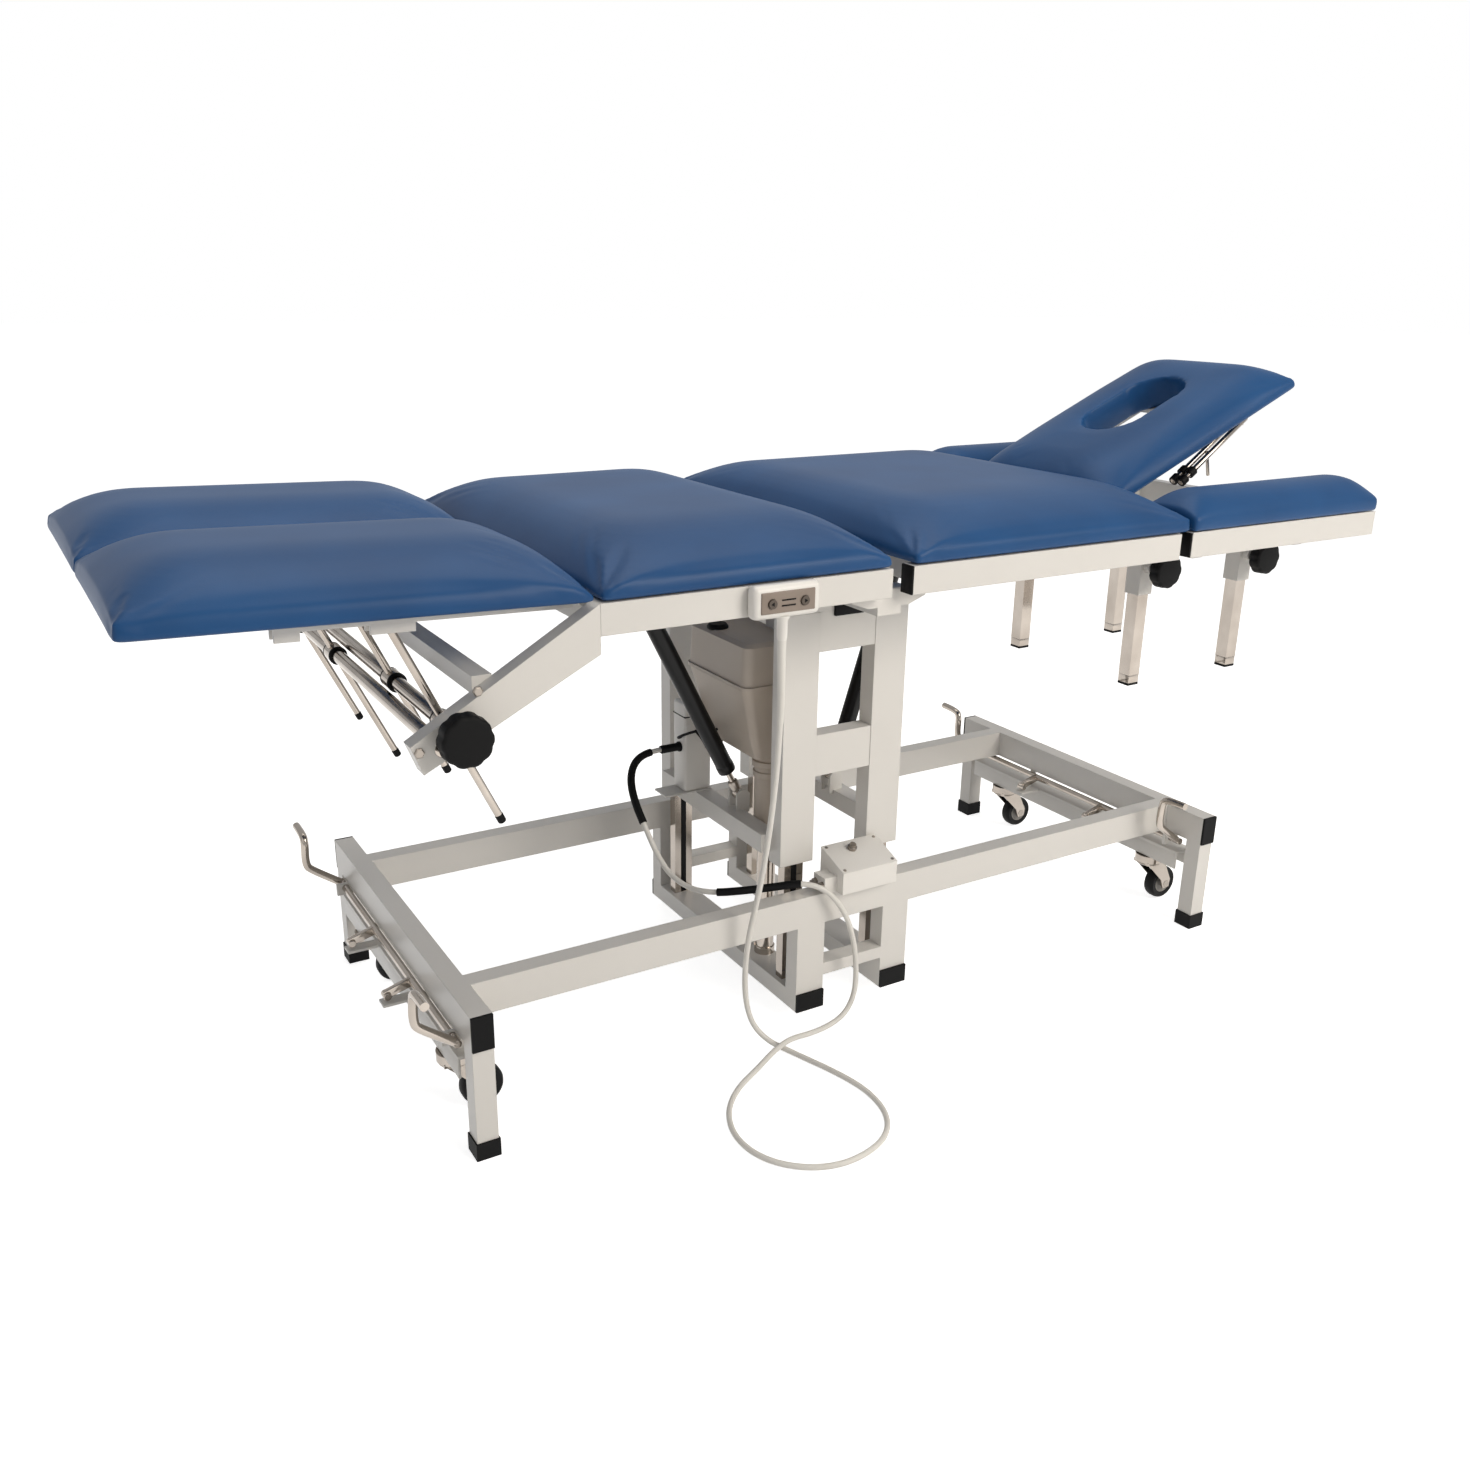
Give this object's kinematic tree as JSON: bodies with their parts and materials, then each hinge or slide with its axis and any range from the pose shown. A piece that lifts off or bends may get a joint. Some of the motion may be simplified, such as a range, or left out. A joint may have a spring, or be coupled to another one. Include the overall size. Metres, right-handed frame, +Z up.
{
  "type": "treatment couch",
  "caption": "Height-adjustable treatment couch with split leg sections, lifting seat and back, tilting head section with face hole, drop armrests, handset and retracting castors.",
  "frame": {"origin": "on the floor, under the middle of the couch's overall length and width", "axes": "+X towards the head end, +Y towards the side away from the handset, +Z up"},
  "size_m": [1.9948, 0.969, 0.9666],
  "materials": {
    "frame_paint": "satin",
    "bright_steel": "polished",
    "blue_vinyl": "satin",
    "black_plastic": "matte",
    "white_plastic": "satin",
    "housing_plastic": "satin",
    "black_paint": "satin",
    "panel_plastic": "satin",
    "button_plastic": "matte",
    "tyre_rubber": "matte",
    "cap_rubber": "matte",
    "lead_sheath": "satin"
  },
  "bodies": {
    "base": {"base_frame": "frame_paint", "base_caps": "cap_rubber", "guide_columns": "bright_steel", "actuator_rod": "bright_steel", "junction_box": "white_plastic", "handset_lead": "lead_sheath"},
    "lift": {"lift_posts": "frame_paint", "lift_members": "frame_paint", "lift_head": "frame_paint", "actuator_housing": "housing_plastic", "control_box": "white_plastic"},
    "seat": {"seat_frame": "frame_paint", "leg_arms": "frame_paint", "seat_pad": "blue_vinyl", "handset_holder": "white_plastic", "handset": "panel_plastic"},
    "back": {"back_frame": "frame_paint", "back_pad": "blue_vinyl", "back_plugs": "black_plastic", "head_subframe": "frame_paint", "armrest_posts": "bright_steel"},
    "head": {"head_pad": "blue_vinyl", "head_frame": "frame_paint", "head_bar": "bright_steel"},
    "button_up": {"button_up": "button_plastic"},
    "button_down": {"button_down": "button_plastic"},
    "strut_rod_seat": {"strut_rod_seat": "bright_steel"},
    "strut_cylinder_seat": {"strut_cylinder_seat": "black_paint"},
    "strut_rod_back": {"strut_rod_back": "bright_steel"},
    "strut_cylinder_back": {"strut_cylinder_back": "black_paint"},
    "leg_near": {"leg_pad_near": "blue_vinyl", "leg_frame_near": "frame_paint"},
    "clamp_shaft_near": {"clamp_shaft_near": "bright_steel"},
    "leg_knob_near": {"leg_knob_near": "black_plastic"},
    "stay_rods_near": {"stay_rods_near": "bright_steel"},
    "leg_far": {"leg_pad_far": "blue_vinyl", "leg_frame_far": "frame_paint"},
    "clamp_shaft_far": {"clamp_shaft_far": "bright_steel"},
    "leg_knob_far": {"leg_knob_far": "black_plastic"},
    "stay_rods_far": {"stay_rods_far": "bright_steel"},
    "armrest_near": {"armrest_frame_near": "frame_paint", "armrest_pad_near": "blue_vinyl"},
    "armrest_knob_near_foot": {"armrest_knob_near_foot": "black_plastic"},
    "armrest_knob_near_head": {"armrest_knob_near_head": "black_plastic"},
    "armrest_far": {"armrest_frame_far": "frame_paint", "armrest_pad_far": "blue_vinyl"},
    "armrest_knob_far_foot": {"armrest_knob_far_foot": "black_plastic"},
    "armrest_knob_far_head": {"armrest_knob_far_head": "black_plastic"},
    "pedal_foot": {"pedal_foot": "bright_steel"},
    "castor_beam_foot": {"castor_beam_foot": "frame_paint"},
    "castor_fork_foot_near": {"castor_fork_foot_near": "bright_steel"},
    "castor_wheel_foot_near": {"castor_wheel_foot_near": "tyre_rubber"},
    "castor_fork_foot_far": {"castor_fork_foot_far": "bright_steel"},
    "castor_wheel_foot_far": {"castor_wheel_foot_far": "tyre_rubber"},
    "pedal_head": {"pedal_head": "bright_steel"},
    "castor_beam_head": {"castor_beam_head": "frame_paint"},
    "castor_fork_head_near": {"castor_fork_head_near": "bright_steel"},
    "castor_wheel_head_near": {"castor_wheel_head_near": "tyre_rubber"},
    "castor_fork_head_far": {"castor_fork_head_far": "bright_steel"},
    "castor_wheel_head_far": {"castor_wheel_head_far": "tyre_rubber"}
  },
  "joints": [
    {"name": "lift_slide", "type": "slide", "parent": "base", "child": "lift", "axis": [0, 0, 1], "range_m": [-0.185, 0.11], "deforming": ["handset_lead"]},
    {"name": "seat_hinge", "type": "hinge", "parent": "lift", "child": "seat", "pos_m": [-0.0625, 0, 0.722], "axis": [0, 1, 0], "range_deg": [0, 20], "deforming": ["handset_lead"]},
    {"name": "back_hinge", "type": "hinge", "parent": "lift", "child": "back", "pos_m": [0.0285, 0, 0.722], "axis": [0, -1, 0], "range_deg": [0, 60]},
    {"name": "head_hinge", "type": "hinge", "parent": "back", "child": "head", "pos_m": [0.5445, 0, 0.735], "axis": [0, -1, 0], "range_deg": [-23.5, 16.5]},
    {"name": "strut_seat_swing", "type": "hinge", "parent": "lift", "child": "strut_rod_seat", "pos_m": [-0.0855, -0.045, 0.318], "axis": [0, 1, 0], "range_deg": [0, 5.3]},
    {"name": "strut_seat_stroke", "type": "slide", "parent": "strut_rod_seat", "child": "strut_cylinder_seat", "axis": [-0.4544, 0, 0.8908], "range_m": [0, 0.068]},
    {"name": "strut_back_swing", "type": "hinge", "parent": "lift", "child": "strut_rod_back", "pos_m": [0.0955, -0.045, 0.318], "axis": [0, -1, 0], "range_deg": [0, 13.7]},
    {"name": "strut_back_stroke", "type": "slide", "parent": "strut_rod_back", "child": "strut_cylinder_back", "axis": [0.3002, 0, 0.9539], "range_m": [0, 0.164]},
    {"name": "leg_hinge_near", "type": "hinge", "parent": "seat", "child": "leg_near", "pos_m": [-0.4705, -0.18, 0.735], "axis": [0, 1, 0], "range_deg": [-20, 30]},
    {"name": "clamp_shaft_turn_near", "type": "hinge", "parent": "seat", "child": "clamp_shaft_near", "pos_m": [-0.6509, 0, 0.608], "axis": [0, 1, 0], "range_deg": [-13.3, 19.7]},
    {"name": "stay_slide_near", "type": "slide", "parent": "clamp_shaft_near", "child": "stay_rods_near", "axis": [-0.4258, 0, 0.9048], "range_m": [-0.078, 0.116]},
    {"name": "leg_knob_turn_near", "type": "hinge", "parent": "clamp_shaft_near", "child": "leg_knob_near", "pos_m": [-0.6509, -0.37, 0.608], "axis": [0, -1, 0], "continuous": true},
    {"name": "leg_hinge_far", "type": "hinge", "parent": "seat", "child": "leg_far", "pos_m": [-0.4705, 0.18, 0.735], "axis": [0, 1, 0], "range_deg": [-20, 30]},
    {"name": "clamp_shaft_turn_far", "type": "hinge", "parent": "seat", "child": "clamp_shaft_far", "pos_m": [-0.6695, 0, 0.592], "axis": [0, 1, 0], "range_deg": [-13.5, 20]},
    {"name": "stay_slide_far", "type": "slide", "parent": "clamp_shaft_far", "child": "stay_rods_far", "axis": [-0.4258, 0, 0.9048], "range_m": [-0.085, 0.1265]},
    {"name": "leg_knob_turn_far", "type": "hinge", "parent": "clamp_shaft_far", "child": "leg_knob_far", "pos_m": [-0.6695, 0.37, 0.592], "axis": [0, 1, 0], "continuous": true},
    {"name": "armrest_slide_near", "type": "slide", "parent": "back", "child": "armrest_near", "axis": [0, 0, 1], "range_m": [-0.145, 0]},
    {"name": "armrest_knob_near_foot_turn", "type": "hinge", "parent": "armrest_near", "child": "armrest_knob_near_foot", "pos_m": [0.6725, -0.19, 0.638], "axis": [0, -1, 0], "continuous": true},
    {"name": "armrest_knob_near_head_turn", "type": "hinge", "parent": "armrest_near", "child": "armrest_knob_near_head", "pos_m": [0.9275, -0.19, 0.638], "axis": [0, -1, 0], "continuous": true},
    {"name": "armrest_slide_far", "type": "slide", "parent": "back", "child": "armrest_far", "axis": [0, 0, 1], "range_m": [-0.145, 0]},
    {"name": "armrest_knob_far_foot_turn", "type": "hinge", "parent": "armrest_far", "child": "armrest_knob_far_foot", "pos_m": [0.6725, 0.19, 0.638], "axis": [0, 1, 0], "continuous": true},
    {"name": "armrest_knob_far_head_turn", "type": "hinge", "parent": "armrest_far", "child": "armrest_knob_far_head", "pos_m": [0.9275, 0.19, 0.638], "axis": [0, 1, 0], "continuous": true},
    {"name": "button_up_press", "type": "slide", "parent": "seat", "child": "button_up", "axis": [0, 1, 0], "range_m": [0, 0.0014], "stiffness_N_per_m": 600},
    {"name": "button_down_press", "type": "slide", "parent": "seat", "child": "button_down", "axis": [0, 1, 0], "range_m": [0, 0.0014], "stiffness_N_per_m": 600},
    {"name": "pedal_hinge_foot", "type": "hinge", "parent": "base", "child": "pedal_foot", "pos_m": [-0.6515, 0, 0.1575], "axis": [0, -1, 0], "range_deg": [0, 35]},
    {"name": "castor_lower_foot", "type": "slide", "parent": "base", "child": "castor_beam_foot", "axis": [0, 0, -1], "range_m": [0, 0.0185]},
    {"name": "castor_swivel_foot_near", "type": "hinge", "parent": "castor_beam_foot", "child": "castor_fork_foot_near", "pos_m": [-0.6315, -0.2, 0.095], "axis": [0, 0, 1], "continuous": true},
    {"name": "castor_roll_foot_near", "type": "hinge", "parent": "castor_fork_foot_near", "child": "castor_wheel_foot_near", "pos_m": [-0.5955, -0.2, 0.034], "axis": [0, 1, 0], "continuous": true},
    {"name": "castor_swivel_foot_far", "type": "hinge", "parent": "castor_beam_foot", "child": "castor_fork_foot_far", "pos_m": [-0.6315, 0.2, 0.095], "axis": [0, 0, 1], "continuous": true},
    {"name": "castor_roll_foot_far", "type": "hinge", "parent": "castor_fork_foot_far", "child": "castor_wheel_foot_far", "pos_m": [-0.5955, 0.2, 0.034], "axis": [0, 1, 0], "continuous": true},
    {"name": "pedal_hinge_head", "type": "hinge", "parent": "base", "child": "pedal_head", "pos_m": [0.6985, 0, 0.1575], "axis": [0, -1, 0], "range_deg": [0, 35]},
    {"name": "castor_lower_head", "type": "slide", "parent": "base", "child": "castor_beam_head", "axis": [0, 0, -1], "range_m": [0, 0.0185]},
    {"name": "castor_swivel_head_near", "type": "hinge", "parent": "castor_beam_head", "child": "castor_fork_head_near", "pos_m": [0.7185, -0.2, 0.095], "axis": [0, 0, 1], "continuous": true},
    {"name": "castor_roll_head_near", "type": "hinge", "parent": "castor_fork_head_near", "child": "castor_wheel_head_near", "pos_m": [0.7545, -0.2, 0.034], "axis": [0, 1, 0], "continuous": true},
    {"name": "castor_swivel_head_far", "type": "hinge", "parent": "castor_beam_head", "child": "castor_fork_head_far", "pos_m": [0.7185, 0.2, 0.095], "axis": [0, 0, 1], "continuous": true},
    {"name": "castor_roll_head_far", "type": "hinge", "parent": "castor_fork_head_far", "child": "castor_wheel_head_far", "pos_m": [0.7545, 0.2, 0.034], "axis": [0, 1, 0], "continuous": true}
  ],
  "couplings": [
    {"joint": "strut_seat_swing", "follows": "seat_hinge", "ratio": 0.24},
    {"joint": "strut_seat_stroke", "follows": "seat_hinge", "m_per_rad": 0.18908},
    {"joint": "strut_back_swing", "follows": "back_hinge", "ratio": 0.22},
    {"joint": "strut_back_stroke", "follows": "back_hinge", "m_per_rad": 0.1547},
    {"joint": "clamp_shaft_turn_near", "follows": "leg_hinge_near", "ratio": 0.64},
    {"joint": "stay_slide_near", "follows": "leg_hinge_near", "m_per_rad": 0.21772},
    {"joint": "clamp_shaft_turn_far", "follows": "leg_hinge_far", "ratio": 0.65},
    {"joint": "stay_slide_far", "follows": "leg_hinge_far", "m_per_rad": 0.23778},
    {"joint": "castor_lower_foot", "follows": "pedal_hinge_foot", "m_per_rad": 0.029466},
    {"joint": "castor_lower_head", "follows": "pedal_hinge_head", "m_per_rad": 0.029466}
  ]
}
